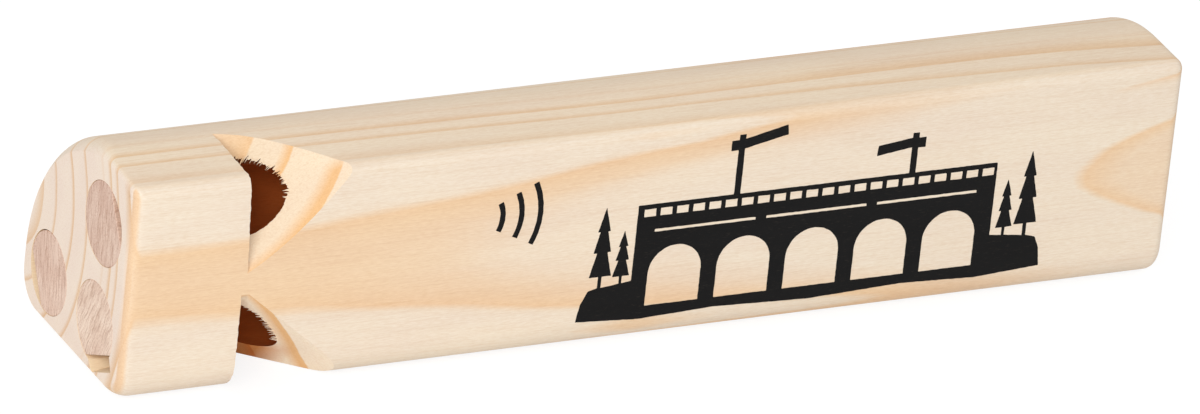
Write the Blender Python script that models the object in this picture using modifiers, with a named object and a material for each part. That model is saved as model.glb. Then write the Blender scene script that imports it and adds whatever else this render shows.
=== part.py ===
"""Wooden train whistle: a pine block with three blind bores, each stopped by a dowel plug.

The block lies along X with its mouth end at -X, its print side towards -Y and its base on Z = 0.
Every pipe is a bore from the mouth end, a plug with a flat that leaves a windway, and a notch cut
across the nearest long edge that opens the bore just behind the plug.
"""

import math

import bmesh
import bpy
from mathutils import Euler, Matrix, Vector

# Block, in metres
BLOCK_LENGTH = 0.1964
BLOCK_WIDTH = 0.0425
BLOCK_HEIGHT = 0.042
FRONT_TOP_ROUND = 0.0026
FRONT_BOTTOM_ROUND = 0.006
BACK_BOTTOM_ROUND = 0.008
BACK_TOP_ROUND = 0.032
MOUTH_EDGE_ROUND = 0.0021
TAIL_EDGE_ROUND = 0.0016
LEAST_LAND = 0.0005

# Bores, each set out from the two faces nearest to it
BORE_DIAMETER = 0.0148
BORE_FROM_FRONT = 0.0112
BORE_FROM_BOTTOM = 0.0108
BORE_FROM_TOP = 0.0127
BORE_FROM_BACK = 0.0121
DRILL_POINT_ANGLE = math.radians(118)
TOP_FRONT_BORE_DEPTH = 0.172
BOTTOM_FRONT_BORE_DEPTH = 0.152
BOTTOM_BACK_BORE_DEPTH = 0.136

# Notches: a wall square to the block, a short floor over the bore's axis, and a slope to the tail
# A window is as long as the way from the wall to the point where the slope leaves the bore
NOTCH_START = 0.0212
NOTCH_SLOPE = math.radians(32)
TOP_FRONT_NOTCH_FLOOR = 0.005
BOTTOM_FRONT_NOTCH_FLOOR = 0.0019
BOTTOM_BACK_NOTCH_FLOOR = 0.0019
TOP_FRONT_WINDOW = 0.0081
BOTTOM_FRONT_WINDOW = 0.0102
BOTTOM_BACK_WINDOW = 0.0102

# Turns about the block's axis, from the back face (0) through up (90) to the front face (180)
TOP_FRONT_NOTCH_TURN = math.radians(144)
BOTTOM_FRONT_NOTCH_TURN = math.radians(226.5)
BOTTOM_BACK_NOTCH_TURN = math.radians(315)
TOP_FRONT_FLAT_TURN = math.radians(147)
BOTTOM_FRONT_FLAT_TURN = math.radians(245)
BOTTOM_BACK_FLAT_TURN = math.radians(328)

# Plugs
WINDWAY_HEIGHT = 0.002
PLUG_GAP = 0.0003
PLUG_SETBACK = 0.001

# Facets and cutter overrun
ARC_STEP = math.radians(6)
BORE_SIDES = 48
EDGE_SEGMENTS = 4
OVERRUN = 0.004

bore_radius = BORE_DIAMETER / 2
front_x = -BLOCK_WIDTH / 2
back_x = BLOCK_WIDTH / 2
top_front_bore = Vector((front_x + BORE_FROM_FRONT, BLOCK_HEIGHT - BORE_FROM_TOP))
bottom_front_bore = Vector((front_x + BORE_FROM_FRONT, BORE_FROM_BOTTOM))
bottom_back_bore = Vector((back_x - BORE_FROM_BACK, BORE_FROM_BOTTOM))


def clear_scene():
    for obj in list(bpy.data.objects):
        bpy.data.objects.remove(obj, do_unlink=True)


def new_collection(name):
    collection = bpy.data.collections.new(name)
    bpy.context.scene.collection.children.link(collection)
    return collection


def wood(name, colour, roughness):
    """A bare wood finish."""
    material = bpy.data.materials.new(name)
    material.use_nodes = True
    shader = material.node_tree.nodes["Principled BSDF"]
    shader.inputs["Base Color"].default_value = (*colour, 1.0)
    shader.inputs["Roughness"].default_value = roughness
    shader.inputs["Metallic"].default_value = 0.0
    return material


def arc(centre, radius, start, end, step=ARC_STEP):
    """Points on an arc from one angle to another, both ends included."""
    steps = max(2, math.ceil(abs(end - start) / step))
    angles = [start + (end - start) * i / steps for i in range(steps + 1)]
    return [centre + radius * Vector((math.cos(a), math.sin(a))) for a in angles]


def extruded(name, outline, depth, collection):
    """A mesh object: a closed outline in its own XY plane, extruded by depth about that plane."""
    curve = bpy.data.curves.new(name, "CURVE")
    curve.dimensions = "2D"
    curve.fill_mode = "BOTH"
    curve.extrude = depth / 2
    spline = curve.splines.new("POLY")
    spline.points.add(len(outline) - 1)
    for point, corner in zip(spline.points, outline):
        point.co = (corner.x, corner.y, 0.0, 1.0)
    spline.use_cyclic_u = True
    guide = bpy.data.objects.new(name + "_outline", curve)
    collection.objects.link(guide)
    graph = bpy.context.evaluated_depsgraph_get()
    mesh = bpy.data.meshes.new_from_object(guide.evaluated_get(graph))
    bpy.data.objects.remove(guide, do_unlink=True)
    mesh.name = name
    shape = bmesh.new()
    shape.from_mesh(mesh)
    bmesh.ops.remove_doubles(shape, verts=shape.verts, dist=1e-6)
    bmesh.ops.dissolve_limit(
        shape, angle_limit=math.radians(1), verts=shape.verts, edges=shape.edges
    )
    bmesh.ops.recalc_face_normals(shape, faces=shape.faces)
    shape.to_mesh(mesh)
    shape.free()
    obj = bpy.data.objects.new(name, mesh)
    collection.objects.link(obj)
    return obj


def place(obj, frame, location, rotation=Euler()):
    """Hangs a piece on the section frame: X towards the back, Y up, Z away from the mouth end."""
    obj.parent = frame
    obj.location = location
    obj.rotation_euler = rotation


def shade(obj, material):
    obj.data.materials.append(material)
    obj.data.shade_smooth()
    obj.data.set_sharp_from_angle(angle=math.radians(30))


def hide_cutter(obj):
    obj.hide_render = True
    obj.display_type = "WIRE"


def cut(obj, cutter):
    boolean = obj.modifiers.new(cutter.name, "BOOLEAN")
    boolean.operation = "DIFFERENCE"
    boolean.solver = "EXACT"
    boolean.object = cutter


def block_outline():
    """The section of the block: three small rounds, and one large round on the top back edge.

    The large round is limited by the flats that are left beside it.
    """
    large_round = min(
        BACK_TOP_ROUND,
        BLOCK_HEIGHT - BACK_BOTTOM_ROUND - LEAST_LAND,
        BLOCK_WIDTH - FRONT_TOP_ROUND - LEAST_LAND,
    )
    corners = (
        (front_x + FRONT_BOTTOM_ROUND, FRONT_BOTTOM_ROUND, FRONT_BOTTOM_ROUND, 180),
        (back_x - BACK_BOTTOM_ROUND, BACK_BOTTOM_ROUND, BACK_BOTTOM_ROUND, 270),
        (back_x - large_round, BLOCK_HEIGHT - large_round, large_round, 0),
        (front_x + FRONT_TOP_ROUND, BLOCK_HEIGHT - FRONT_TOP_ROUND, FRONT_TOP_ROUND, 90),
    )
    outline = []
    for x, y, radius, start in corners:
        outline += arc(Vector((x, y)), radius, math.radians(start), math.radians(start + 90))
    return outline


def round_end(obj, end, radius):
    """Rounds the rim of the block at one end of its length."""
    shape = bmesh.new()
    shape.from_mesh(obj.data)
    rim = [
        edge
        for edge in shape.edges
        if all(abs(vert.co.z - end) < 1e-6 for vert in edge.verts)
    ]
    bmesh.ops.bevel(
        shape,
        geom=rim,
        offset=radius,
        offset_type="OFFSET",
        segments=EDGE_SEGMENTS,
        profile=0.5,
        affect="EDGES",
    )
    shape.to_mesh(obj.data)
    shape.free()


def make_block(frame, collection, material):
    block = extruded("pine_block", block_outline(), BLOCK_LENGTH, collection)
    most = min(FRONT_TOP_ROUND, FRONT_BOTTOM_ROUND, BACK_BOTTOM_ROUND) - LEAST_LAND
    round_end(block, -BLOCK_LENGTH / 2, min(MOUTH_EDGE_ROUND, most))
    round_end(block, BLOCK_LENGTH / 2, min(TAIL_EDGE_ROUND, most))
    place(block, frame, (0, 0, BLOCK_LENGTH / 2))
    shade(block, material)
    return block


def bore_cutter(name, centre, depth, frame, collection):
    """A drill: a turned profile from its point down its side to its shank, past the mouth end."""
    point_height = bore_radius / math.tan(DRILL_POINT_ANGLE / 2)
    profile = (
        (0.0, depth + point_height),
        (bore_radius, depth),
        (bore_radius, -OVERRUN),
        (0.0, -OVERRUN),
    )
    mesh = bpy.data.meshes.new(name)
    mesh.from_pydata([(r, 0, z) for r, z in profile], [(0, 1), (1, 2), (2, 3)], [])
    drill = bpy.data.objects.new(name, mesh)
    collection.objects.link(drill)
    screw = drill.modifiers.new("turn", "SCREW")
    screw.axis = "Z"
    screw.steps = BORE_SIDES
    screw.render_steps = BORE_SIDES
    screw.use_merge_vertices = True
    screw.merge_threshold = 1e-5
    hide_cutter(drill)
    place(drill, frame, (*centre, 0))
    return drill


def notch_cutter(name, centre, floor, window, turn, frame, collection):
    """A wedge across a long edge: a square wall, a short floor and a slope that rises to the tail.

    Its outline runs along the block (x) and out from the bore's axis (y).
    """
    rise = math.tan(NOTCH_SLOPE)
    reach = math.hypot(BLOCK_WIDTH, BLOCK_HEIGHT) / 2 + OVERRUN
    floor_length = max(window - (bore_radius - floor) / rise, LEAST_LAND)
    slope_end = floor_length + (reach - floor) / rise
    outline = [
        Vector((0, floor)),
        Vector((floor_length, floor)),
        Vector((slope_end, reach)),
        Vector((0, reach)),
    ]
    width = 2 * (BLOCK_WIDTH + BLOCK_HEIGHT)
    wedge = extruded(name, outline, width, collection)
    hide_cutter(wedge)
    out = Vector((math.cos(turn), math.sin(turn), 0))
    along = Vector((0, 0, 1))
    axes = Matrix((along, out, along.cross(out))).transposed()
    place(wedge, frame, (*centre, NOTCH_START), axes.to_euler())
    return wedge


def make_plug(name, centre, flat_turn, frame, collection, material):
    """A dowel with one flat, from the mouth face to just short of the notch's wall."""
    radius = bore_radius - PLUG_GAP
    flat = bore_radius - WINDWAY_HEIGHT
    half = math.acos(min(flat / radius, 1.0))
    outline = arc(Vector((0, 0)), radius, half, 2 * math.pi - half, 2 * math.pi / BORE_SIDES)
    length = NOTCH_START - PLUG_SETBACK
    plug = extruded(name, outline, length, collection)
    place(plug, frame, (*centre, length / 2), Euler((0, 0, flat_turn)))
    shade(plug, material)
    return plug


def main():
    clear_scene()
    parts = new_collection("wooden_train_whistle")
    cutters = new_collection("cutters")
    frame = bpy.data.objects.new("mouth_end_frame", None)
    frame.location = (-BLOCK_LENGTH / 2, 0, 0)
    frame.rotation_euler = (math.pi / 2, 0, math.pi / 2)
    parts.objects.link(frame)

    pine = wood("bare_pine", (0.90, 0.74, 0.52), 0.55)
    beech = wood("bare_beech", (0.62, 0.44, 0.36), 0.6)
    block = make_block(frame, parts, pine)

    pipes = (
        (
            "top_front", top_front_bore, TOP_FRONT_BORE_DEPTH, TOP_FRONT_NOTCH_FLOOR,
            TOP_FRONT_WINDOW, TOP_FRONT_NOTCH_TURN, TOP_FRONT_FLAT_TURN,
        ),
        (
            "bottom_front", bottom_front_bore, BOTTOM_FRONT_BORE_DEPTH, BOTTOM_FRONT_NOTCH_FLOOR,
            BOTTOM_FRONT_WINDOW, BOTTOM_FRONT_NOTCH_TURN, BOTTOM_FRONT_FLAT_TURN,
        ),
        (
            "bottom_back", bottom_back_bore, BOTTOM_BACK_BORE_DEPTH, BOTTOM_BACK_NOTCH_FLOOR,
            BOTTOM_BACK_WINDOW, BOTTOM_BACK_NOTCH_TURN, BOTTOM_BACK_FLAT_TURN,
        ),
    )
    for name, centre, depth, floor, window, notch_turn, flat_turn in pipes:
        cut(block, bore_cutter(name + "_drill", centre, depth, frame, cutters))
        wedge = notch_cutter(name + "_wedge", centre, floor, window, notch_turn, frame, cutters)
        cut(block, wedge)
        make_plug(name + "_plug", centre, flat_turn, frame, parts, beech)


main()
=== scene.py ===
import bmesh
import bpy
import numpy as np
from mathutils import Matrix


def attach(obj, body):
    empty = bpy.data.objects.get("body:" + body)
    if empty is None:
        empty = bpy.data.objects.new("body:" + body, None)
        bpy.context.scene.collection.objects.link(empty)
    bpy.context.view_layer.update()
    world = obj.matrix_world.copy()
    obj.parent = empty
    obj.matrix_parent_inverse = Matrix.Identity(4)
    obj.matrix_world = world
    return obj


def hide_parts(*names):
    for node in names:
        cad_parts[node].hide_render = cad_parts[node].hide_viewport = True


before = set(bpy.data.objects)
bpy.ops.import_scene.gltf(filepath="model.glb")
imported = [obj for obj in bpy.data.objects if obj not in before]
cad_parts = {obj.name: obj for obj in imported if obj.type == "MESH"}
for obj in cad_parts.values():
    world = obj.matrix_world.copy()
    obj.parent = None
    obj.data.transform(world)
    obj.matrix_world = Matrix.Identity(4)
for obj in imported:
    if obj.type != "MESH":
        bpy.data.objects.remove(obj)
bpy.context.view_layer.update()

# Pine block
# The body of the whistle is one planed length of pine, sanded round along its edges and rounder at the back.
# Three deep holes are drilled in from the mouth end, and a saw notch opens each hole a little way along.
# The front plane lies a hair inside the frame, so that the print's ink fills the difference.

INK_ROOM = 0.00004
MOUTH_X = -0.0982
TAIL_X = 0.0982
FRAME_FRONT_Y = -0.02125
FRONT_Y = FRAME_FRONT_Y + INK_ROOM
BACK_Y = 0.02125
TOP_Z = 0.042
FRONT_TOP_ROUND = 0.0019
FRONT_BOTTOM_ROUND = 0.006
BACK_BOTTOM_ROUND = 0.008
BACK_TOP_ROUND = 0.032
TAIL_ROUND = 0.0016
FLAT_STEP = 0.0004
EDGE_STEPS = 9
MIDDLE_STATIONS = 45

# Edge of the mouth at the top, front, bottom and back: how far it is taken in, how long that takes, and the
# angle at which it starts. The front edge is sanded round, and the edges at the bottom and the back are taken
# off wider, with a crisp corner.
TOP_EDGE = (0.00095, 0.00095, 0.0)
FRONT_EDGE = (0.0021, 0.0021, 0.0)
BOTTOM_EDGE = (0.0020, 0.0045, 35.0)
BACK_EDGE = (0.0023, 0.0045, 35.0)

# Round of each long edge: centre y and z and radius, then start angle and points, edges of the mouth at its
# two ends, and the power by which the first of them goes over into the second.
LONG_ROUNDS = [
    (BACK_Y - BACK_TOP_ROUND, TOP_Z - BACK_TOP_ROUND, BACK_TOP_ROUND,
     0.0, 41, BACK_EDGE, TOP_EDGE, 5.0),
    (FRONT_Y + FRONT_TOP_ROUND, TOP_Z - FRONT_TOP_ROUND, FRONT_TOP_ROUND,
     90.0, 17, TOP_EDGE, FRONT_EDGE, 1.0),
    (FRONT_Y + FRONT_BOTTOM_ROUND, FRONT_BOTTOM_ROUND, FRONT_BOTTOM_ROUND,
     180.0, 17, FRONT_EDGE, BOTTOM_EDGE, 1.0),
    (BACK_Y - BACK_BOTTOM_ROUND, BACK_BOTTOM_ROUND, BACK_BOTTOM_ROUND,
     270.0, 21, BOTTOM_EDGE, BACK_EDGE, 1.0),
]

# Hand sanding has lowered the top towards the front: by how much near the mouth and near the tail, at which
# ways along, how far behind the front it starts, over which way it grows, and the height that it starts above.
TOP_FALL = (0.00135, 0.00035)
TOP_FALL_AT = (0.080, 0.175)
TOP_FALL_START = 0.016
TOP_FALL_RUN = 0.0134
TOP_FALL_ABOVE = 0.030


def mouth_edge():
    """Edge of the mouth at each point of the outline: along a round, the values at its first end go over into
    those at its last end by a power of the way round."""
    rows = []
    for *_, count, first, last, power in LONG_ROUNDS:
        share = np.linspace(0.0, 1.0, count + 2)[:, None] ** power
        rows.append(np.array(first) + share * (np.array(last) - np.array(first)))
    return np.vstack(rows)


def quarter(y, z, radius, start, count):
    """Points of a quarter circle about (y, z), from the start angle on, in degrees."""
    angle = np.radians(np.linspace(start, start + 90.0, count))
    return np.stack([y + radius * np.cos(angle), z + radius * np.sin(angle)], axis=1)


def block_section(inset):
    """Outline of the block in Y and Z, moved in by one inset for each point: four quarter circles about fixed
    centres. Each straight face gets a point close to its rounds, so that it shades flat."""
    parts = []
    done = 0
    for y, z, radius, start, count, *_ in LONG_ROUNDS:
        arc = quarter(y, z, radius - inset[done + 1:done + 1 + count], start, count)
        along = np.radians(start)
        before = arc[0] + FLAT_STEP * np.array([np.sin(along), -np.cos(along)])
        after = arc[-1] + FLAT_STEP * np.array([-np.cos(along), -np.sin(along)])
        parts.append(np.vstack([before, arc, after]))
        done += count + 2
    return np.vstack(parts)


def carried(name, rings):
    """Closed mesh of an outline carried along a path: rings[i, j] is point j of the outline at station i.
    Quads join neighbouring stations, and one polygon closes each end."""
    stations, count = rings.shape[:2]
    number = np.arange(stations * count).reshape(stations, count)
    after = np.roll(number, -1, axis=1)
    quads = np.stack([number[:-1], after[:-1], after[1:], number[1:]], axis=-1).reshape(-1, 4)
    faces = quads.tolist() + [number[0, ::-1].tolist(), number[-1].tolist()]
    mesh = bpy.data.meshes.new(name)
    mesh.from_pydata(rings.reshape(-1, 3).tolist(), [], faces)
    work = bmesh.new()
    work.from_mesh(mesh)
    bmesh.ops.recalc_face_normals(work, faces=work.faces)
    work.to_mesh(mesh)
    work.free()
    mesh.shade_smooth()
    made = bpy.data.objects.new(name, mesh)
    bpy.context.scene.collection.objects.link(made)
    return made


def block_rings():
    """Stations of the block along X: part of an ellipse takes the outline in at the mouth and a quarter
    circle at the tail, and a smaller outline just inside each end face lets that face shade flat. The top
    falls straight towards the front edge, more so at the mouth."""
    depth, length, begin = mouth_edge().T
    begin = np.radians(begin)
    step = np.linspace(0.0, 1.0, EDGE_STEPS)[:, None]
    turn = begin + (np.pi / 2 - begin) * step
    whole = np.ones_like(depth)
    mouth_x = MOUTH_X + length * (np.cos(begin) - np.cos(turn)) / np.cos(begin)
    mouth_in = depth * (1 - np.sin(turn)) / (1 - np.sin(begin))
    tail_x = (TAIL_X - TAIL_ROUND * whole * (1 - np.cos(np.pi / 2 * step)))[::-1]
    tail_in = (TAIL_ROUND * whole * (1 - np.sin(np.pi / 2 * step)))[::-1]
    middle_from = MOUTH_X + max(length) + FLAT_STEP
    middle_to = TAIL_X - TAIL_ROUND - FLAT_STEP
    middle_x = np.linspace(middle_from, middle_to, MIDDLE_STATIONS)[:, None] * whole
    x = np.vstack([MOUTH_X * whole, mouth_x, middle_x, tail_x, TAIL_X * whole])
    inset = np.vstack([mouth_in[0] + FLAT_STEP, mouth_in, 0.0 * middle_x, tail_in, tail_in[-1] + FLAT_STEP])
    outlines = np.stack([block_section(row) for row in inset])
    y, z = outlines[..., 0], outlines[..., 1]
    fall = np.interp(x - MOUTH_X, TOP_FALL_AT, TOP_FALL)
    share = np.clip((TOP_FALL_START - (y - FRONT_Y)) / TOP_FALL_RUN, 0.0, 1.0)
    z = np.where(z > TOP_FALL_ABOVE, z - fall * share, z)
    return np.stack([x, y, z], axis=2)


# Each chamber, in metres: hole centre and depth. Then, for its notch, the way that it faces in degrees from
# the back through the top, height of its foot over the hole's axis, length of its floor, slope and bend of
# its ramp, and how far the saw ran off square. Then, for its torn window, length, middle and half widths, how
# far round it is torn, how many slivers stand along it, and how many of them are long and curl over it.
CHAMBERS = {
    "top_front": dict(
        y=-0.01005, z=0.0293, depth=0.172,
        turn=141.5, low=0.0044, foot=0.0, rise=0.355, bend=12.0, skew=0.064,
        window=0.0090, middle=-0.0009, upper=0.0067, lower=0.0069, torn=0.55, slivers=34, curls=2),
    "bottom_front": dict(
        y=-0.01005, z=0.0108, depth=0.152,
        turn=226.5, low=0.0019, foot=0.0014, rise=0.625, bend=0.0, skew=0.0,
        window=0.0098, middle=0.0, upper=0.0086, lower=0.00715, torn=0.15, slivers=26, curls=0),
    "bottom_back": dict(
        y=0.00915, z=0.0108, depth=0.136,
        turn=315.0, low=0.0019, foot=0.0014, rise=0.625, bend=0.0, skew=0.0,
        window=0.0098, middle=0.0, upper=0.0080, lower=0.00715, torn=0.15, slivers=20, curls=0),
}
BORE_RADIUS = 0.0074
BORE_SIDES = 96
DRILL_POINT = 0.00445
DRILL_TIP = 0.00005
DRILL_START = 0.002


def hole_rings(chamber):
    """Drilled hole about an axis along X: the radius is constant, then falls to the drill's point."""
    end = MOUTH_X + chamber["depth"]
    x = np.array([MOUTH_X - DRILL_START, end, end + DRILL_POINT])
    radius = np.array([BORE_RADIUS, BORE_RADIUS, DRILL_TIP])
    angle = np.linspace(0.0, 2 * np.pi, BORE_SIDES, endpoint=False)
    ring_y = chamber["y"] + radius[:, None] * np.cos(angle)
    ring_z = chamber["z"] + radius[:, None] * np.sin(angle)
    return np.stack([np.broadcast_to(x[:, None], ring_y.shape), ring_y, ring_z], axis=2)


def facing(turn):
    """Directions out of a notch and across it, in the Y-Z plane."""
    angle = np.radians(turn)
    return np.array([np.cos(angle), np.sin(angle)]), np.array([-np.sin(angle), np.cos(angle)])


# Flared windway of the bottom front plug: the way that the plug's flat faces, in degrees, then ways along
# from the mouth with the height over the hole's axis at each, the least height, and the four corners across.
BOTTOM_FRONT_FLAT = 245.0
FLARE_ALONG = np.array([-0.001, 0.0, 0.010])
FLARE_HIGH = np.array([0.0085, 0.0083, 0.0068])
FLARE_LOW = 0.0050
FLARE_ACROSS = np.array([-0.0047, 0.0046, 0.0034, -0.0047])


def flare_rings(chamber):
    """Flared end of a windway: a slot about as wide as the plug's flat, deepest at the mouth."""
    out, across = facing(BOTTOM_FRONT_FLAT)
    low = np.full(len(FLARE_HIGH), FLARE_LOW)
    height = np.stack([low, low, FLARE_HIGH, FLARE_HIGH], axis=1)
    return np.stack([MOUTH_X + FLARE_ALONG[:, None] + 0.0 * FLARE_ACROSS,
                     chamber["y"] + height * out[0] + FLARE_ACROSS * across[0],
                     chamber["z"] + height * out[1] + FLARE_ACROSS * across[1]], axis=2)


def fine_wobble(count, steps, seed):
    """Smooth random line from -1 to 1: seeded values every few steps, joined by straight lines."""
    values = np.random.default_rng(seed).uniform(-1.0, 1.0, count // steps + 3)
    return np.interp(np.arange(count) / steps, np.arange(len(values)), values)


NOTCH_WALL = 0.0212


def notch_place(chamber, run, side, height):
    """Points of a notch from the way along X from its wall, the way across, and the height over the axis."""
    out, across = facing(chamber["turn"])
    return np.stack([MOUTH_X + NOTCH_WALL + run, chamber["y"] + height * out[0] + side * across[0],
                     chamber["z"] + height * out[1] + side * across[1]], axis=-1)


def ramp_height(chamber, run):
    """Height of a notch's floor and ramp over the hole's axis: level, then rising and bending up."""
    past = np.maximum(run - chamber["foot"], 0.0)
    return chamber["low"] + chamber["rise"] * past + chamber["bend"] * past ** 2


# The saw's cut: its reach along the block and to each side, points across, heights at the far end of the ramp
# and over the wall, both well outside the block, how much the wall wavers, and the stations of the ramp.
NOTCH_REACH = 0.040
NOTCH_HALF_WIDTH = 0.030
NOTCH_POINTS = 301
NOTCH_RAMP_TOP = 0.034
NOTCH_WALL_TOP = 0.035
NOTCH_WAVER = 0.00007
NO_FLOOR_START = 0.003
RAMP_STEP = 0.001
RAMP_STATIONS = 20


def notch_rings(chamber, seed):
    """Saw notch: a wall, a short floor if it has one, and a ramp that rises to the tail, carried straight
    across the block. The wall may run off square, and wavers by a few hundredths of a millimetre."""
    first = chamber["foot"] if chamber["foot"] > 0.0 else NO_FLOOR_START
    run = np.concatenate([[0.0, first], np.linspace(first + RAMP_STEP, NOTCH_REACH, RAMP_STATIONS), [0.0]])
    side = np.linspace(-NOTCH_HALF_WIDTH, NOTCH_HALF_WIDTH, NOTCH_POINTS)
    ragged = chamber["skew"] * side + NOTCH_WAVER * fine_wobble(len(side), 2, seed)
    run = run + ragged[:, None] * np.where(run == 0.0, 1.0, 0.0)
    height = ramp_height(chamber, run)
    height[:, -2] = NOTCH_RAMP_TOP
    height[:, -1] = NOTCH_WALL_TOP
    return notch_place(chamber, run, side[:, None], height)


WINDOW_POWER = 1.7
WINDOW_LEAN = np.array([0.35, 0.0])


def window_edge(chamber, across):
    """Edge of a window for a place across from -1 to 1: a rounded bow, with the way that points out of it,
    leant towards the tail."""
    side = chamber["middle"] + np.where(across < 0.0, chamber["upper"], chamber["lower"]) * across
    run = chamber["window"] * np.sqrt(np.maximum(1.0 - np.abs(across) ** WINDOW_POWER, 0.0))
    steep = np.gradient(run) / np.gradient(side)
    way = np.stack([np.ones_like(steep), -steep], axis=1)
    way = way / np.linalg.norm(way, axis=1, keepdims=True) + WINDOW_LEAN
    return run, side, way / np.linalg.norm(way, axis=1, keepdims=True)


# Teeth of a torn window: shape of one tooth, how many, length of the longest, how much the edge wavers, and
# how far the tool goes past the wall. Its lower and upper outlines have a height over the ramp and a way out.
TOOTH = np.array([0.0, 0.35, 1.0, 0.7, 0.25, 0.0, 0.0])
TEETH = 40
TOOTH_LENGTH = 0.00085
LIP_WAVER = 0.00005
LIP_PAST_WALL = 0.0003
LIP_OUTLINES = ((-0.0030, 0.0016), (0.0012, -0.00064))


def lip_rings(chamber, seed):
    """Torn window where a notch opens its hole: the edge of the window, moved out by random teeth about four
    tenths of a millimetre wide, long on the upper side, cut down into the hole and under the lip."""
    across = np.sin(np.linspace(-1.5, 1.5, TEETH * len(TOOTH)))
    run, side, way = window_edge(chamber, across)
    dice = np.random.default_rng(seed)
    size = np.repeat(dice.uniform(0.15, 1.0, TEETH) ** 1.5, len(TOOTH)) * np.tile(TOOTH, TEETH)
    size = TOOTH_LENGTH * size * np.clip(chamber["torn"] - 0.9 * across, 0.08, 1.0)
    size = size + LIP_WAVER * fine_wobble(len(run), 5, seed + 7)
    rings = []
    for lift, under in LIP_OUTLINES:
        over = side + (size + under) * way[:, 1]
        over = np.concatenate([over[:1], over, over[-1:]])
        along = np.concatenate([[0.0], run + (size + under) * way[:, 0], [0.0]])
        along[[0, -1]] = chamber["skew"] * over[[0, -1]] - LIP_PAST_WALL
        rings.append(notch_place(chamber, along, over, ramp_height(chamber, along) + lift))
    return np.stack(rings)


# Slivers: least and greatest length and half width, those of a long curled one, length of the root that lies
# on the ramp, half thickness, slope down over the window, and stations along each.
SLIVER_LENGTHS = (0.00030, 0.00085)
SLIVER_WIDTHS = (0.00006, 0.00012)
CURL_LENGTH = 0.0016
CURL_WIDTH = 0.00013
SLIVER_ROOT = 0.0005
SLIVER_THICKNESS = 0.00005
SLIVER_DIP = 0.45
SLIVER_STATIONS = 5


def torn_slivers(chamber, seed):
    """Slivers of wood left standing along the upper lip: each is a thin flat spike that starts on the ramp,
    runs over the window, bends out and tapers to a point. Gives vertices and faces."""
    dice = np.random.default_rng(seed)
    count = chamber["slivers"]
    across = np.sort(dice.uniform(-0.97, chamber["torn"] - 0.3, count))
    run, side, way = window_edge(chamber, across)
    length = dice.uniform(*SLIVER_LENGTHS, count)
    lift = dice.uniform(0.0, 0.5, count)
    wide = dice.uniform(*SLIVER_WIDTHS, count)
    length[1:1 + chamber["curls"]] = CURL_LENGTH
    wide[1:1 + chamber["curls"]] = CURL_WIDTH
    step = np.linspace(0.0, 1.0, SLIVER_STATIONS)
    whole_length = (SLIVER_ROOT + length)[:, None]
    reach = whole_length * step - SLIVER_ROOT
    along = run[:, None] - way[:, :1] * reach
    over = side[:, None] - way[:, 1:] * reach
    high = ramp_height(chamber, run + SLIVER_ROOT)[:, None] - SLIVER_DIP * whole_length * step
    high = high + (lift * length)[:, None] * step ** 2
    wide = wide[:, None] * (1.0 - 0.93 * step ** 1.5)
    thick = SLIVER_THICKNESS * (1.0 - 0.8 * step) * np.ones((count, 1))
    corners = [(1.0, -1.0), (1.0, 1.0), (-1.0, 1.0), (-1.0, -1.0)]
    points = np.stack([notch_place(chamber, along - a * wide * way[:, 1:], over + a * wide * way[:, :1],
                                   high + b * thick) for a, b in corners], axis=2)
    number = np.arange(SLIVER_STATIONS * len(corners)).reshape(SLIVER_STATIONS, len(corners))
    after = np.roll(number, -1, axis=1)
    quads = np.stack([number[:-1], number[1:], after[1:], after[:-1]], axis=-1).reshape(-1, 4)
    quads = np.vstack([quads, number[0], number[-1, ::-1]])
    faces = quads[None] + number.size * np.arange(count)[:, None, None]
    return points.reshape(-1, 3), faces.reshape(-1, 4)


def node(tree, kind, inputs=None, **settings):
    """A shader node with its properties set, and its inputs set or linked by name or number."""
    made = tree.nodes.new(kind)
    for key, value in settings.items():
        setattr(made, key, value)
    for key, value in (inputs or {}).items():
        if isinstance(value, bpy.types.NodeSocket):
            tree.links.new(value, made.inputs[key])
        else:
            made.inputs[key].default_value = value
    return made


def calc(tree, operation, first, second=0.0, third=0.0):
    """Result of one Math node."""
    return node(tree, "ShaderNodeMath", {0: first, 1: second, 2: third}, operation=operation).outputs[0]


def product(tree, first, *others):
    """Product of several values."""
    for other in others:
        first = calc(tree, "MULTIPLY", first, other)
    return first


def lessened(tree, value, share):
    """Value less a share of itself."""
    return calc(tree, "MULTIPLY", value, calc(tree, "SUBTRACT", 1.0, share))


def spread(tree, value, low, high, to_low, to_high):
    """Value moved from one range to another, and kept inside it."""
    return node(tree, "ShaderNodeMapRange", {0: value, 1: low, 2: high, 3: to_low, 4: to_high}).outputs[0]


WHITE = (1.0, 1.0, 1.0, 1.0)


def linear(red, green, blue):
    """Colour written as screen values from 0 to 255, as the shader takes it."""
    share = np.array([red, green, blue]) / 255.0
    low = share / 12.92
    high = ((share + 0.055) / 1.055) ** 2.4
    return (*np.where(share <= 0.04045, low, high).tolist(), 1.0)


def ramp(tree, factor, stops):
    """Colour ramp with one stop for each (place, colour or grey level)."""
    made = node(tree, "ShaderNodeValToRGB", {0: factor})
    elements = made.color_ramp.elements
    for number, (place, colour) in enumerate(stops):
        stop = elements[number] if number < 2 else elements.new(place)
        stop.position = place
        stop.color = colour if isinstance(colour, tuple) else (colour, colour, colour, 1.0)
    return made.outputs["Color"]


def blended(tree, how, amount, under, over):
    """Colour mix of two colours."""
    inputs = {0: amount, 6: under, 7: over}
    return node(tree, "ShaderNodeMix", inputs, data_type="RGBA", blend_type=how).outputs[2]


def millimetres(tree, shift=(0.0, 0.0, 0.0)):
    """Place on a piece in millimetres, moved by a shift."""
    coordinates = node(tree, "ShaderNodeTexCoord")
    inputs = {0: coordinates.outputs["Object"], 1: (1e3, 1e3, 1e3), 2: shift}
    return node(tree, "ShaderNodeVectorMath", inputs, operation="MULTIPLY_ADD").outputs[0]


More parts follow.
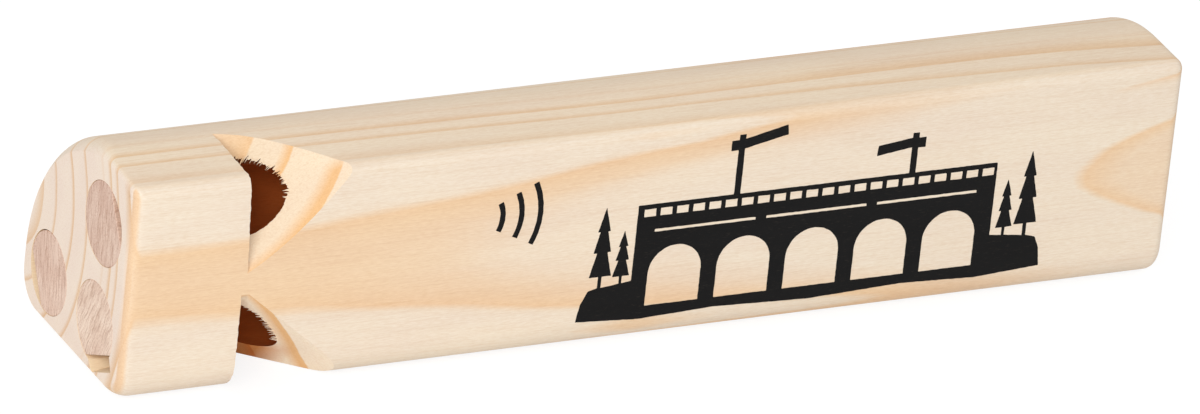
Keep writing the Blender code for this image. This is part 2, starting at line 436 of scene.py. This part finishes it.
def grain_noise(tree, place, along, over, detail, roughness=0.55):
    """Noise from 0 to 1, with features about 'along' millimetres long and 'over' millimetres wide."""
    stretch = node(tree, "ShaderNodeMapping", {0: place, 3: (1.0 / along, 1.0 / over, 1.0 / over)})
    inputs = {0: stretch.outputs[0], "Scale": 1.0, "Detail": detail, "Roughness": roughness}
    return node(tree, "ShaderNodeTexNoise", inputs).outputs[0]


# The tree's heart line, in millimetres from the mouth, front and bottom: its depth and height at the mouth,
# its slope along the block, and how it bows to the front with the square and the cube of the way along. Then
# how far slow and quick noise warp the rings, and how far they turn in near the bottom of the sawn cuts.
HEART_DEPTH = 48.05
HEART_HEIGHT = 22.4
HEART_SLOPE = -0.003
HEART_BOW = 1.36e-4
HEART_BOW_CUBE = 4.5e-7
SLOW_WARP = 0.5
QUICK_WARP = 0.14
SAWN_TURN_IN = 2.1


def ring_radius(tree, place, x, y, z, sawn):
    """Distance from the tree's heart line in millimetres, warped a little. Towards the tail the rings lie
    closer up and down, and on the top the outer ones lie wider. Gives the slow part of the warp too."""
    square = calc(tree, "MULTIPLY", x, x)
    bow = calc(tree, "MULTIPLY", square, calc(tree, "MULTIPLY_ADD", x, HEART_BOW_CUBE, HEART_BOW))
    depth = calc(tree, "SUBTRACT", calc(tree, "SUBTRACT", HEART_DEPTH, bow), y)
    rise = calc(tree, "SUBTRACT", z, calc(tree, "MULTIPLY_ADD", x, HEART_SLOPE, HEART_HEIGHT))
    tight = node(tree, "ShaderNodeMapRange", {0: x, 1: 80.0, 2: 180.0, 3: 0.93, 4: 1.25},
                 interpolation_type="SMOOTHSTEP").outputs[0]
    rise = calc(tree, "MULTIPLY", rise, tight)
    squares = calc(tree, "ADD", calc(tree, "MULTIPLY", depth, depth), calc(tree, "MULTIPLY", rise, rise))
    radius = calc(tree, "SQRT", squares)
    slow = calc(tree, "SUBTRACT", grain_noise(tree, place, 55.0, 9.0, 1.0), 0.5)
    quick = calc(tree, "SUBTRACT", grain_noise(tree, place, 14.0, 0.7, 2.0), 0.5)
    radius = calc(tree, "MULTIPLY_ADD", slow, SLOW_WARP, radius)
    radius = calc(tree, "MULTIPLY_ADD", quick, QUICK_WARP, radius)
    wider = product(tree, spread(tree, x, 105.0, 165.0, 0.0, -1.5), spread(tree, z, 33.0, 38.0, 0.0, 1.0))
    radius = calc(tree, "MULTIPLY_ADD", wider, spread(tree, radius, 42.0, 44.5, 0.0, 1.0), radius)
    if sawn:
        radius = calc(tree, "ADD", radius, spread(tree, z, 4.0, 18.0, SAWN_TURN_IN, 0.0))
    return radius, slow


# Rings, in millimetres from the tree's heart: outer edge, width of the late wood, and its strength. The
# slanted saw cuts show fewer of them, and wider. Then how sharply late wood ends, and the range of the ramp.
RINGS = [
    (7.2, 1.1, 1.0), (13.1, 2.8, 0.8), (18.5, 1.1, 1.0), (25.4, 1.1, 1.0), (31.1, 1.1, 1.0),
    (38.2, 1.1, 0.3), (41.2, 1.4, 1.0), (43.7, 1.1, 0.9), (48.5, 2.3, 1.0),
]
SAWN_RINGS = [(39.9, 6.0, 0.6), (43.5, 1.4, 0.9), (48.8, 2.3, 1.0)]
RING_EDGE = 0.02
RING_SPAN = 60.0


def late_wood(tree, place, x, y, z, sawn):
    """Amount of late wood from 0 to 1: in each ring it grows slowly outwards and ends sharply. Some rings are
    then made fainter in places, and on the planed faces some bands and streaks are added."""
    radius, slow = ring_radius(tree, place, x, y, z, sawn)
    stops = []
    for edge, wide, strength in SAWN_RINGS if sawn else RINGS:
        stops += [(edge - wide, 0.0), (edge - RING_EDGE, strength), (edge + RING_EDGE, 0.0)]
    late = ramp(tree, calc(tree, "DIVIDE", radius, RING_SPAN), [(r / RING_SPAN, v) for r, v in stops])
    # The last ring but one is lost on the front past the notches.
    lost = product(tree, spread(tree, radius, 41.9, 42.2, 0.0, 1.0),
                   spread(tree, radius, 44.0, 44.3, 1.0, 0.0), spread(tree, z, 37.0, 39.5, 1.0, 0.0),
                   spread(tree, x, 60.0, 90.0, 0.0, 1.0))
    # The last ring is half worn away along the near edge of the top.
    worn = product(tree, spread(tree, radius, 45.8, 46.0, 0.0, 1.0), spread(tree, z, 39.0, 40.5, 0.0, 0.5))
    late = lessened(tree, lessened(tree, late, lost), worn)
    if sawn:
        return late
    # On the front the last ring opens to early wood between its two branches.
    opened = product(tree, spread(tree, radius, 47.1, 47.65, 0.7, 0.0),
                     spread(tree, radius, 44.5, 46.0, 0.0, 1.0), spread(tree, x, 54.0, 66.0, 0.0, 1.0),
                     spread(tree, z, 13.0, 19.0, 0.35, 1.0), spread(tree, z, 34.0, 37.0, 1.0, 0.0))
    late = lessened(tree, late, opened)
    # Another ring begins outside the last one.
    outside = calc(tree, "SUBTRACT", radius, spread(tree, x, 50.0, 95.0, 51.2, 48.9))
    outside = product(tree, spread(tree, outside, 0.0, 0.3, 0.0, 0.7), spread(tree, z, 37.5, 40.5, 1.0, 0.35))
    # At the tail the front cuts into an inner ring, which shows as a tinted tongue.
    tongue = product(tree, spread(tree, radius, 40.9, 41.1, 0.45, 0.0),
                     spread(tree, x, 165.0, 178.0, 0.0, 1.0), spread(tree, y, 3.0, 6.0, 1.0, 0.0))
    # Two streaks run along the top to the tail, one inside a ring and one along the crest.
    broad = product(tree, spread(tree, radius, 38.0, 41.1, 0.0, 0.9),
                    spread(tree, radius, 41.1, 41.2, 1.0, 0.0))
    behind = calc(tree, "MULTIPLY_ADD", slow, 3.0, y)
    crest = product(tree, spread(tree, behind, 22.0, 24.3, 0.0, 1.0),
                    spread(tree, behind, 26.5, 27.5, 1.0, 0.0))
    streaks = product(tree, calc(tree, "MAXIMUM", broad, crest), spread(tree, z, 36.5, 37.5, 0.0, 1.0),
                      spread(tree, x, 95.0, 130.0, 0.0, 1.0))
    for more in (outside, tongue, streaks):
        late = calc(tree, "MAXIMUM", late, more)
    return late


EARLY_WOOD = linear(244, 231, 213)
LATE_WOOD = linear(242, 208, 168)
TOP_WOOD = linear(247, 230, 207)
TOP_LINE = linear(237, 203, 163)
END_WOOD = linear(244, 230, 217)
END_LINE = linear(228, 190, 148)
SAWN_EARLY = linear(246, 228, 202)
SAWN_LATE = linear(243, 199, 146)
# Painted light: the low parts of the sawn ramps are lighter, for the light bounced up from the floor.
SAWN_LOW_PAINTED_LIGHT = linear(255, 242, 222)
# Painted light: the holes near the mouth are lighter, for the light that enters the windways.
WINDWAY_PAINTED_LIGHT = linear(255, 234, 200)
# Painted shade: further in, the holes are dark brown for the shade inside them.
CHAMBER_PAINTED_SHADE = linear(200, 103, 43)
# Painted shade: the torn lips under the windows are darker still, for the shade in the openings.
TORN_LIP_PAINTED_SHADE = linear(130, 64, 26)
# Painted shade: warm brown multiplied into the low corner of the bottom ramps by the wall.
PAINTED_CORNER_SHADE = (0.72, 0.34, 0.12, 1.0)


def pine_finish(name, early, late_colour, rough, sawn=False, inside=None):
    """Pine with its rings, fine fibre and pores. Rings cut across show as darker lines on top and at the
    ends, and crisper on a sawn ramp, where painted light makes the parts low on the block lighter. The front
    edge of the mouth is a strip of late wood, and painted shade darkens the low corner of the bottom ramps.
    The drilled holes darken inwards from painted light by the plugs to painted shade, the 'inside' colour."""
    material = bpy.data.materials.new(name)
    material.use_nodes = True
    tree = material.node_tree
    shader = tree.nodes["Principled BSDF"]
    place = millimetres(tree, (-1e3 * MOUTH_X, -1e3 * FRAME_FRONT_Y, 0.0))
    x, y, z = node(tree, "ShaderNodeSeparateXYZ", {0: place}).outputs
    late = late_wood(tree, place, x, y, z, sawn)
    normal = node(tree, "ShaderNodeTexCoord").outputs["Normal"]
    normal_x, normal_y, normal_z = node(tree, "ShaderNodeSeparateXYZ", {0: normal}).outputs
    ends = spread(tree, calc(tree, "ABSOLUTE", normal_x), 0.6, 0.95, 0.0, 1.0)
    upper = spread(tree, normal_z, 0.75, 0.95, 0.0, 1.0)
    if sawn:
        # Painted light: below 18 mm up the block the ramps' early wood goes over to a lighter colour.
        early = blended(tree, "MIX", spread(tree, z, 18.0, 23.0, 0.0, 1.0), SAWN_LOW_PAINTED_LIGHT, early)
        late = spread(tree, late, 0.15, 0.75, 0.0, 1.0)
    else:
        early = blended(tree, "MIX", upper, early, TOP_WOOD)
        rim = product(tree, spread(tree, normal_x, -0.35, -0.6, 0.0, 0.8),
                      spread(tree, normal_y, -0.3, -0.45, 0.0, 1.0))
        late = calc(tree, "MAXIMUM", late, rim)
    pale = blended(tree, "MIX", ends, early, END_WOOD)
    lines = blended(tree, "MIX", upper, late_colour, TOP_LINE)
    lines = blended(tree, "MIX", ends, lines, END_LINE)
    colour = blended(tree, "MIX", late, pale, lines)
    fibre = grain_noise(tree, place, 1.3, 0.17, 3.0, 0.65)
    streak = grain_noise(tree, place, 16.0, 0.4, 3.0)
    cloud = grain_noise(tree, place, 40.0, 8.0, 2.0)
    fibre_tone = ramp(tree, fibre, [(0.3, linear(246, 240, 233)), (0.65, WHITE)])
    streak_tone = ramp(tree, streak, [(0.34, linear(251, 248, 245)), (0.5, WHITE)])
    cloud_tone = ramp(tree, cloud, [(0.35, linear(252, 249, 248)), (0.62, linear(255, 254, 252))])
    for tone in (fibre_tone, streak_tone, cloud_tone):
        colour = blended(tree, "MULTIPLY", 1.0, colour, tone)
    if sawn:
        # Painted shade: the low corner of the bottom ramps near the wall is darkened.
        corner = product(tree, spread(tree, x, 30.0, 34.5, 1.0, 0.0), spread(tree, z, 3.5, 6.0, 1.0, 0.0))
        colour = blended(tree, "MULTIPLY", corner, colour, PAINTED_CORNER_SHADE)
    if inside:
        # Painted light near the mouth goes over to painted shade further into the hole.
        colour = blended(tree, "MIX", spread(tree, x, 18.0, 20.5, 0.0, 1.0), WINDWAY_PAINTED_LIGHT, inside)
        colour = blended(tree, "MULTIPLY", 1.0, colour, fibre_tone)
    tree.links.new(colour, shader.inputs["Base Color"])
    tree.links.new(spread(tree, fibre, 0.3, 0.7, rough + 0.08, rough - 0.06), shader.inputs["Roughness"])
    relief = calc(tree, "MULTIPLY_ADD", late, 0.35, fibre)
    bump = node(tree, "ShaderNodeBump", {"Height": relief, "Strength": 0.06, "Distance": 0.0002})
    tree.links.new(bump.outputs[0], shader.inputs["Normal"])
    shader.inputs["Specular IOR Level"].default_value = 0.25
    return material


planed_pine = pine_finish("planed_pine", EARLY_WOOD, LATE_WOOD, 0.6)
sawn_pine = pine_finish("sawn_pine", SAWN_EARLY, SAWN_LATE, 0.72, sawn=True)
# The drilled holes carry painted light near the mouth and painted shade further in.
bored_pine = pine_finish("bored_pine", EARLY_WOOD, LATE_WOOD, 0.8, inside=CHAMBER_PAINTED_SHADE)
# The torn lips carry painted shade.
torn_pine = pine_finish("torn_pine", EARLY_WOOD, LATE_WOOD, 0.8, inside=TORN_LIP_PAINTED_SHADE)


def cut_away(piece, name, rings, finish):
    """Takes a carried shape out of the piece, with the finish on the cut."""
    tool = carried(name, rings)
    tool.data.materials.append(finish)
    cut = piece.modifiers.new("cut", "BOOLEAN")
    cut.operation = "DIFFERENCE"
    cut.solver = "EXACT"
    cut.material_mode = "TRANSFER"
    cut.object = tool
    bpy.context.view_layer.update()
    cut_piece = piece.evaluated_get(bpy.context.evaluated_depsgraph_get())
    mesh = bpy.data.meshes.new_from_object(cut_piece)
    piece.modifiers.clear()
    piece.data = mesh
    bpy.data.objects.remove(tool)


SHARP_ANGLE = np.radians(18.0)

block = carried("whistle_block", block_rings())
block.data.materials.append(planed_pine)
for number, (name, chamber) in enumerate(CHAMBERS.items()):
    cut_away(block, name + "_hole", hole_rings(chamber), bored_pine)
    if name == "bottom_front":
        cut_away(block, name + "_flare", flare_rings(chamber), bored_pine)
    cut_away(block, name + "_notch", notch_rings(chamber, 11 + number), sawn_pine)
    cut_away(block, name + "_lip", lip_rings(chamber, 21 + number), torn_pine)
block.data.shade_smooth()
block.data.set_sharp_from_angle(angle=SHARP_ANGLE)
whole = bmesh.new()
whole.from_mesh(block.data)
sawn_slot = block.data.materials.find("sawn_pine")
for number, chamber in enumerate(CHAMBERS.values()):
    points, faces = torn_slivers(chamber, 31 + number)
    corners = [whole.verts.new(point) for point in points.tolist()]
    for face in faces.tolist():
        made = whole.faces.new([corners[corner] for corner in face])
        made.material_index = sawn_slot
whole.to_mesh(block.data)
whole.free()
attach(block, "root")
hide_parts("pine_block")

# Plugs
# Three short beech dowels, pressed into the mouths of the holes and sanded flush with the mouth end.
# Each has one side planed flat, which leaves a thin windway that blows against the notch's edge.

PLUG_FLAT = 0.0054
PLUG_DEPTH = 0.0198
PLUG_EASE = 0.00012
PLUG_FACE_INSET = 0.0006
PLUG_POINTS = 90
FLAT_POINTS = 16


def plug_rings(y, z, turn, size):
    """Dowel with one flat side: a circle cut by a straight line across the way that the flat faces,
    taken in a hair at each end."""
    out, across = facing(turn)
    x = np.array([0.0, 0.0, PLUG_EASE, PLUG_DEPTH - PLUG_EASE, PLUG_DEPTH, PLUG_DEPTH])
    inset = np.array([PLUG_FACE_INSET, PLUG_EASE, 0.0, 0.0, PLUG_EASE, PLUG_FACE_INSET])
    rings = []
    for station, step in zip(x, inset):
        radius = size - step
        level = PLUG_FLAT - step
        edge = np.arccos(level / radius)
        angle = np.linspace(edge, 2 * np.pi - edge, PLUG_POINTS)
        high = radius * np.cos(angle)
        side = radius * np.sin(angle)
        line = np.linspace(side[-1], side[0], FLAT_POINTS)[1:-1]
        high = np.concatenate([high, np.full(len(line), level)])
        side = np.concatenate([side, line])
        ring_y = y + high * out[0] + side * across[0]
        ring_z = z + high * out[1] + side * across[1]
        rings.append(np.stack([np.full(len(high), MOUTH_X + station), ring_y, ring_z], axis=1))
    return np.stack(rings)


def beech_finish(name, lean, tone):
    """Beech end grain: fine rays in one direction, wavering, with small pores, over a pinkish brown."""
    material = bpy.data.materials.new(name)
    material.use_nodes = True
    tree = material.node_tree
    shader = tree.nodes["Principled BSDF"]
    lean_angles = (np.radians(lean), 0.0, 0.0)
    turned = node(tree, "ShaderNodeMapping", {0: millimetres(tree), 2: lean_angles}).outputs[0]
    waver = node(tree, "ShaderNodeTexNoise", {0: turned, "Scale": 0.35, "Detail": 1.0})
    shifted = node(tree, "ShaderNodeVectorMath", {0: waver.outputs[1], 1: (0.0, 1.2, 0.4), 2: turned},
                   operation="MULTIPLY_ADD")
    rays = node(tree, "ShaderNodeMapping", {0: shifted.outputs[0], 3: (0.12, 3.0, 0.25)})
    ray_settings = {0: rays.outputs[0], "Scale": 1.0, "Detail": 4.0, "Roughness": 0.65}
    fine = node(tree, "ShaderNodeTexNoise", ray_settings).outputs[0]
    pores = node(tree, "ShaderNodeTexNoise", {0: turned, "Scale": 3.2, "Detail": 2.0}).outputs[0]
    cloud = node(tree, "ShaderNodeTexNoise", {0: turned, "Scale": 0.16, "Detail": 1.0}).outputs[0]
    red, green, blue = tone
    deep = linear(red - 30, green - 36, blue - 38)
    light = linear(red + 10, green + 14, blue + 15)
    colour = ramp(tree, fine, [(0.34, deep), (0.5, linear(red, green, blue)), (0.66, light)])
    speck = ramp(tree, pores, [(0.33, linear(238, 228, 222)), (0.48, WHITE)])
    shade = ramp(tree, cloud, [(0.35, linear(244, 238, 236)), (0.65, WHITE)])
    colour = blended(tree, "MULTIPLY", 1.0, colour, speck)
    colour = blended(tree, "MULTIPLY", 1.0, colour, shade)
    tree.links.new(colour, shader.inputs["Base Color"])
    tree.links.new(spread(tree, fine, 0.3, 0.7, 0.72, 0.58), shader.inputs["Roughness"])
    bump = node(tree, "ShaderNodeBump", {"Height": fine, "Strength": 0.1, "Distance": 0.0002})
    tree.links.new(bump.outputs[0], shader.inputs["Normal"])
    shader.inputs["Specular IOR Level"].default_value = 0.25
    return material


# Each plug: way that its flat faces, radius, how low it sits in its hole, lean of its rays, and its tone.
PLUGS = {
    "top_front": (147.0, 0.00736, 0.0, 4.0, (222, 193, 175)),
    "bottom_front": (BOTTOM_FRONT_FLAT, 0.00736, 0.0, -24.0, (236, 212, 193)),
    "bottom_back": (328.0, 0.00728, 0.00008, 8.0, (230, 202, 184)),
}
for name, (turn, size, drop, lean, tone) in PLUGS.items():
    chamber = CHAMBERS[name]
    plug = carried(name + "_dowel", plug_rings(chamber["y"], chamber["z"] - drop, turn, size))
    plug.data.set_sharp_from_angle(angle=SHARP_ANGLE)
    plug.data.materials.append(beech_finish(name + "_beech", lean, tone))
    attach(plug, "root")
    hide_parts(name + "_plug")

# Print
# A black picture pad-printed on the front face: a railway viaduct with a railing, two signals and fir trees,
# and three arcs of sound near the notches. The ink is a thin matt film with slightly rough edges.
# The picture is drawn in millimetres from the mouth and the bottom.

INK_THICKNESS = 0.00002
INK_GAP = 0.000004
INK_STEP = 0.2
INK_WAVER = 0.03
DECK_Z = 26.6


def roughened(outline, seed):
    """Closed outline with points at even steps, each moved a little, as ink spreads."""
    closed = np.vstack([outline, outline[:1]])
    length = np.concatenate([[0.0], np.cumsum(np.hypot(*np.diff(closed, axis=0).T))])
    count = max(int(length[-1] / INK_STEP), 12)
    where = np.linspace(0.0, length[-1], count, endpoint=False)
    points = np.stack([np.interp(where, length, closed[:, way]) for way in (0, 1)], axis=1)
    shift = np.stack([fine_wobble(count, 3, seed), fine_wobble(count, 3, seed + 50)], axis=1)
    return points + INK_WAVER * shift


def bar(x0, z0, x1, z1):
    """Upright rectangle between two corners."""
    return np.array([[x0, z0], [x1, z0], [x1, z1], [x0, z1]])


def arch(x0, x1, foot, spring):
    """Opening with upright sides and a half-round head."""
    angle = np.radians(np.linspace(0.0, 180.0, 25))
    radius = (x1 - x0) / 2
    head = np.stack([(x0 + x1) / 2 + radius * np.cos(angle), spring + radius * np.sin(angle)], axis=1)
    return np.vstack([head, [[x0, foot], [x1, foot]]])


def sound_arc(x, z, radius, width, half):
    """Curved stroke of even width about a point, up to 'half' degrees each way."""
    angle = np.radians(np.linspace(-half, half, 24))
    way = np.stack([np.cos(angle), np.sin(angle)], axis=1)
    inner = np.array([x, z]) + (radius - width / 2) * way
    outer = np.array([x, z]) + (radius + width / 2) * way
    return np.vstack([inner, outer[::-1]])


def fir(x, foot, height, spread_out):
    """Fir tree, from left to right: a short trunk and three tiers of branches."""
    levels = foot + height * np.array([0.0, 0.14, 0.14, 0.44, 0.44, 0.70, 0.70])
    widths = spread_out * np.array([0.16, 0.16, 1.0, 0.46, 0.78, 0.34, 0.56])
    left = np.stack([x - widths, levels], axis=1)
    right = np.stack([x + widths, levels], axis=1)[::-1]
    return np.vstack([left, [[x, foot + height]], right])


def signal(x, foot, height, arm, droop, way):
    """Railway signal, from left to right: a post with an arm on one side and a lamp on the other."""
    top = foot + height
    arm_side = [[0.6, foot], [0.6, top - 2.7], [0.6 + arm, top - 2.2 - droop], [0.4 + arm, top - 0.3 - droop],
                [0.6, top - 0.9], [0.6, top]]
    lamp_side = [[-0.6, top], [-0.6, top - 1.0], [-2.0, top - 1.0], [-2.0, top - 2.9], [-0.6, top - 2.9],
                 [-0.6, foot]]
    shape = np.array((arm_side + lamp_side)[::-1 if way > 0 else 1])
    return np.stack([x + way * shape[:, 0], shape[:, 1]], axis=1)


skyline = np.vstack([
    [[84.2, 5.8], [84.8, 9.0], [86.0, 11.4]],
    fir(88.0, 11.8, 15.2, 2.1),
    fir(91.9, 12.2, 10.0, 1.6),
    [[94.0, 12.5], [94.0, DECK_Z]],
    signal(112.4, DECK_Z, 11.2, 8.0, -1.2, 1),
    signal(145.6, DECK_Z, 7.6, 6.6, 1.4, -1),
    [[162.0, DECK_Z], [162.0, 12.8]],
    fir(164.5, 12.5, 10.6, 1.6),
    fir(168.6, 12.0, 16.0, 2.2),
    [[170.9, 11.4], [171.8, 9.2], [172.2, 5.8]],
    [[160.0, 5.0], [146.0, 5.6], [128.0, 4.9], [110.0, 5.6], [96.0, 5.0]],
])
outlines = [skyline]
outlines += [arch(x, x + 10.0, 7.4, 13.4) for x in (97.0, 110.0, 123.0, 136.0, 149.0)]
outlines += [bar(x, 24.3, x + 2.2, 25.7) for x in np.arange(95.2, 160.0, 3.05)]
outlines += [bar(x, 21.3, x + 19.0, 21.8) for x in (97.5, 118.5, 139.5)]
outlines += [sound_arc(62.5, 27.6, radius, 1.0, 26.0) for radius in (6.0, 9.5, 13.0)]

drawing = bpy.data.curves.new("print_drawing", "CURVE")
drawing.dimensions = "2D"
drawing.fill_mode = "BOTH"
drawing.extrude = INK_THICKNESS / 2
for number, outline in enumerate(outlines):
    points = roughened(outline, 100 + number)
    spline = drawing.splines.new("POLY")
    spline.points.add(len(points) - 1)
    flat = np.column_stack([points * 0.001, np.zeros(len(points)), np.ones(len(points))])
    spline.points.foreach_set("co", flat.ravel())
    spline.use_cyclic_u = True
stencil = bpy.data.objects.new("print_drawing", drawing)
bpy.context.scene.collection.objects.link(stencil)
bpy.context.view_layer.update()
ink_mesh = bpy.data.meshes.new_from_object(stencil.evaluated_get(bpy.context.evaluated_depsgraph_get()))
bpy.data.objects.remove(stencil)
ink_y = FRONT_Y - INK_THICKNESS / 2 - INK_GAP
upright = Matrix(((1, 0, 0, MOUTH_X), (0, 0, -1, ink_y), (0, 1, 0, 0), (0, 0, 0, 1)))
ink_mesh.transform(upright)
ink_print = bpy.data.objects.new("black_print", ink_mesh)
bpy.context.scene.collection.objects.link(ink_print)

black_ink = bpy.data.materials.new("black_ink")
black_ink.use_nodes = True
tree = black_ink.node_tree
shader = tree.nodes["Principled BSDF"]
ink_place = millimetres(tree)
pits = grain_noise(tree, ink_place, 1.2, 0.16, 3.0, 0.7)
cover = grain_noise(tree, ink_place, 30.0, 3.0, 2.0)
pit_stops = [(0.28, linear(48, 44, 40)), (0.40, linear(20, 19, 19)), (0.7, linear(14, 14, 15))]
ink_tone = ramp(tree, pits, pit_stops)
thin_tone = ramp(tree, cover, [(0.3, linear(235, 235, 235)), (0.6, WHITE)])
tree.links.new(blended(tree, "MULTIPLY", 1.0, ink_tone, thin_tone), shader.inputs["Base Color"])
tree.links.new(spread(tree, pits, 0.3, 0.7, 0.75, 0.55), shader.inputs["Roughness"])
dents = node(tree, "ShaderNodeBump", {"Height": pits, "Strength": 0.2, "Distance": 0.0001})
tree.links.new(dents.outputs[0], shader.inputs["Normal"])
shader.inputs["Specular IOR Level"].default_value = 0.12
ink_mesh.materials.clear()
ink_mesh.materials.append(black_ink)
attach(ink_print, "root")

# Studio
# The whistle lies on a plain white floor under even white light, with a soft lamp near the camera.
# The floor and the sky look white to the camera, and light the whistle a little less.

FLOOR_REACH = 4.0
FLOOR_Z = -2e-4
FLOOR_GLOW = 0.86
SKY_LIGHT = 0.66


def seen_straight(tree):
    """1 for what the camera or a shine sees, and 0 for what only gives light."""
    rays = node(tree, "ShaderNodeLightPath")
    return calc(tree, "MAXIMUM", rays.outputs["Is Camera Ray"], rays.outputs["Is Glossy Ray"])


floor_mesh = bpy.data.meshes.new("studio_floor")
floor_corners = [(x * FLOOR_REACH, y * FLOOR_REACH, FLOOR_Z) for x, y in ((-1, -1), (1, -1), (1, 1), (-1, 1))]
floor_mesh.from_pydata(floor_corners, [], [(0, 1, 2, 3)])
floor = bpy.data.objects.new("studio_floor", floor_mesh)
bpy.context.scene.collection.objects.link(floor)
white_floor = bpy.data.materials.new("white_floor")
white_floor.use_nodes = True
tree = white_floor.node_tree
tree.nodes.remove(tree.nodes["Principled BSDF"])
bounce = node(tree, "ShaderNodeBsdfDiffuse", {"Color": (0.9, 0.9, 0.9, 1.0)})
seen = node(tree, "ShaderNodeBsdfDiffuse", {"Color": (0.22, 0.22, 0.22, 1.0)})
glow = node(tree, "ShaderNodeEmission", {"Strength": FLOOR_GLOW})
lit = node(tree, "ShaderNodeAddShader", {0: seen.outputs[0], 1: glow.outputs[0]})
both = node(tree, "ShaderNodeMixShader", {0: seen_straight(tree), 1: bounce.outputs[0], 2: lit.outputs[0]})
tree.links.new(both.outputs[0], tree.nodes["Material Output"].inputs["Surface"])
floor_mesh.materials.append(white_floor)

world = bpy.data.worlds.new("studio_light")
bpy.context.scene.world = world
world.use_nodes = True
tree = world.node_tree
sky = tree.nodes["Background"]
sky.inputs[0].default_value = WHITE
tree.links.new(spread(tree, seen_straight(tree), 0.0, 1.0, SKY_LIGHT, 1.0), sky.inputs[1])


def soft_lamp(name, direction, distance, size, power):
    """Square soft lamp that looks at the whistle's middle from a direction."""
    away = np.array(direction) / np.linalg.norm(direction)
    side = np.cross((0.0, 0.0, 1.0), away)
    side = side / np.linalg.norm(side)
    lamp = bpy.data.lights.new(name, "AREA")
    lamp.energy = power
    lamp.size = size
    made = bpy.data.objects.new(name, lamp)
    bpy.context.scene.collection.objects.link(made)
    turn = np.eye(4)
    turn[:3, :3] = np.column_stack([side, np.cross(away, side), away])
    turn[:3, 3] = np.array([0.0, 0.0, 0.02]) + distance * away
    made.matrix_world = Matrix(turn.tolist())


soft_lamp("key_lamp", direction=(-0.60, -0.66, 0.45), distance=1.4, size=0.7, power=9.0)

# Camera
# The photograph's view: from the front left and above, far away through a long lens, rolled a few degrees.
# Its angles and distances come from a fit to the block's outline, in units of the block's height.

CAMERA_AZIMUTH = -28.01283
CAMERA_ELEVATION = 25.82663
CAMERA_ROLL = 6.15132
FIT_UNIT = 0.042
FIT_AIM = np.array([2.6, 0.5, 0.5])
FIT_DISTANCE = 60.719810
FIT_RIGHT = -0.256717
FIT_UP = -0.140868

azimuth, elevation, roll = np.radians([CAMERA_AZIMUTH, CAMERA_ELEVATION, CAMERA_ROLL])
level_way = np.array([np.sin(azimuth), -np.cos(azimuth), 0.0])
back_way = np.cos(elevation) * level_way + np.array([0.0, 0.0, np.sin(elevation)])
right = np.cross(-back_way, (0.0, 0.0, 1.0))
right = right / np.linalg.norm(right)
up = np.cross(right, -back_way)
right, up = np.cos(roll) * right + np.sin(roll) * up, np.cos(roll) * up - np.sin(roll) * right
aim = FIT_UNIT * FIT_AIM + np.array([MOUTH_X, FRAME_FRONT_Y, 0.0])
stand = aim + FIT_UNIT * (FIT_DISTANCE * back_way + FIT_RIGHT * right + FIT_UP * up)
lens = bpy.data.cameras.new("photo_camera")
lens.sensor_fit = "HORIZONTAL"
lens.sensor_width = 36.0
lens.lens = 450.0
lens.clip_end = 20.0
camera = bpy.data.objects.new("photo_camera", lens)
bpy.context.scene.collection.objects.link(camera)
view = np.eye(4)
view[:3, :3] = np.column_stack([right, up, back_way])
view[:3, 3] = stand
camera.matrix_world = Matrix(view.tolist())
bpy.context.scene.camera = camera
bpy.context.scene.view_settings.view_transform = "Standard"
